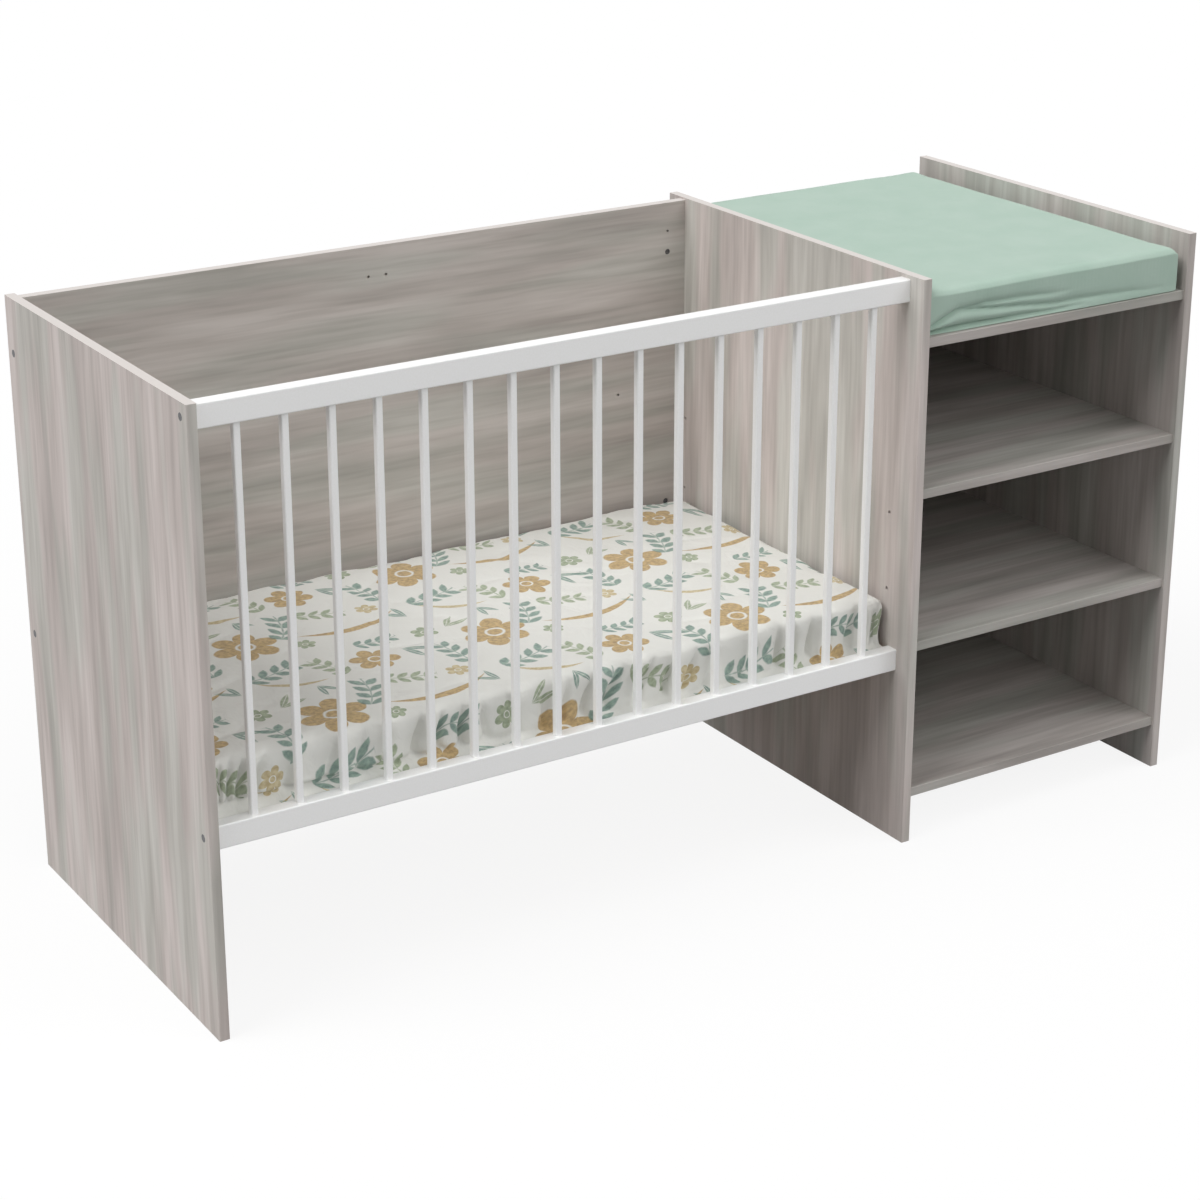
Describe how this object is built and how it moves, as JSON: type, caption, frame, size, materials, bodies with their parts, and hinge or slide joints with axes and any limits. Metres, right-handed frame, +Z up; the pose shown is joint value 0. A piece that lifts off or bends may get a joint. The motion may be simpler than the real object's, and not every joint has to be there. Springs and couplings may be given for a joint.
{
  "type": "crib with attached changer",
  "caption": "Cot with a barred front and panel sides, joined by a shared panel to an open-shelved changing unit; its slatted base has set heights, and the mattress and pad lift out.",
  "frame": {"origin": "centre of the overall box's footprint, on the floor under the panels", "axes": "+X along the cot towards the changing unit, +Y from the barred front to the back, +Z up"},
  "size_m": [1.8, 0.71, 0.965],
  "materials": {
    "grey_wood_laminate": "satin",
    "white_lacquered_wood": "satin",
    "grey_hardboard": "matte",
    "zinc_plated_steel": "satin",
    "bare_beech": "matte",
    "printed_cotton_sheet": "matte",
    "sage_cotton_cover": "matte"
  },
  "bodies": {
    "frame": {"left_end_panel": "grey_wood_laminate", "middle_panel": "grey_wood_laminate", "right_end_panel": "grey_wood_laminate", "cot_back_panel": "grey_wood_laminate", "top_rail": "white_lacquered_wood", "bottom_rail": "white_lacquered_wood", "bar_01": "white_lacquered_wood", "bar_02": "white_lacquered_wood", "bar_03": "white_lacquered_wood", "bar_04": "white_lacquered_wood", "bar_05": "white_lacquered_wood", "bar_06": "white_lacquered_wood", "bar_07": "white_lacquered_wood", "bar_08": "white_lacquered_wood", "bar_09": "white_lacquered_wood", "bar_10": "white_lacquered_wood", "bar_11": "white_lacquered_wood", "bar_12": "white_lacquered_wood", "bar_13": "white_lacquered_wood", "bar_14": "white_lacquered_wood", "bar_15": "white_lacquered_wood", "bar_16": "white_lacquered_wood", "changer_top_board": "grey_wood_laminate", "upper_shelf": "grey_wood_laminate", "lower_shelf": "grey_wood_laminate", "bottom_shelf": "grey_wood_laminate", "changer_back_board": "grey_hardboard", "connector_bolts": "zinc_plated_steel", "barrel_nuts": "zinc_plated_steel", "shelf_cam_locks": "zinc_plated_steel", "shelf_cam_bolts": "zinc_plated_steel", "shelf_dowels": "bare_beech", "base_support_pegs": "zinc_plated_steel"},
    "slatted_base": {"base_left_batten": "bare_beech", "base_right_batten": "bare_beech", "base_front_member": "bare_beech", "base_rear_member": "bare_beech", "base_slat_01": "bare_beech", "base_slat_02": "bare_beech", "base_slat_03": "bare_beech", "base_slat_04": "bare_beech", "base_slat_05": "bare_beech", "base_slat_06": "bare_beech", "base_slat_07": "bare_beech", "base_slat_08": "bare_beech", "base_slat_09": "bare_beech", "base_slat_10": "bare_beech", "base_slat_11": "bare_beech", "base_slat_12": "bare_beech", "base_frame_screws": "zinc_plated_steel"},
    "mattress": {"mattress": "printed_cotton_sheet"},
    "changing_pad": {"changing_pad": "sage_cotton_cover"}
  },
  "joints": [
    {"name": "base_height", "type": "slide", "parent": "frame", "child": "slatted_base", "axis": [0, 0, 1], "range_m": [0, 0.274]},
    {"name": "mattress_lift", "type": "slide", "parent": "slatted_base", "child": "mattress", "axis": [0, 0, 1], "range_m": [0, 0.65]},
    {"name": "pad_lift", "type": "slide", "parent": "frame", "child": "changing_pad", "axis": [0, 0, 1], "range_m": [0, 0.12]}
  ]
}
